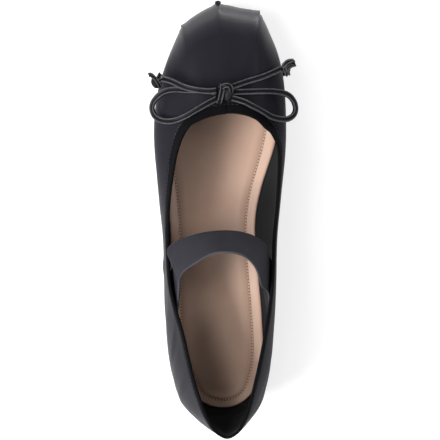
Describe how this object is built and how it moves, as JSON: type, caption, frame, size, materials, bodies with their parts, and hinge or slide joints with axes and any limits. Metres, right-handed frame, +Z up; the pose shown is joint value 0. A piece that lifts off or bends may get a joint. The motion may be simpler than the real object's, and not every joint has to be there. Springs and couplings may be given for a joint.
{
  "type": "ballet flat shoe",
  "caption": "Left ballet flat with a satin upper, square gathered toe, wide elastic instep strap, thin cord bow, padded insole and low heel.",
  "frame": {"origin": "on the floor under the middle of the shoe's length and width", "axes": "+Z up, +Y from heel to toe, +X to the inner (medial) side of the foot"},
  "size_m": [0.0841, 0.2502, 0.0655],
  "materials": {
    "satin": "black satin",
    "elastic": "blue-black satin elastic",
    "insole": "soft matt rose taupe",
    "sole": "matt black",
    "cord": "folded and stitched, soft gloss"
  },
  "bodies": {
    "root": {"upper": "satin", "strap": "elastic", "insole": "insole", "outsole": "sole", "heel": "sole", "bow_knot": "cord", "bow_loop_outer": "cord", "bow_loop_inner": "cord", "bow_tail_outer": "cord", "bow_tail_inner": "cord", "tail_knot_outer": "cord", "tail_knot_inner": "cord"}
  },
  "joints": []
}
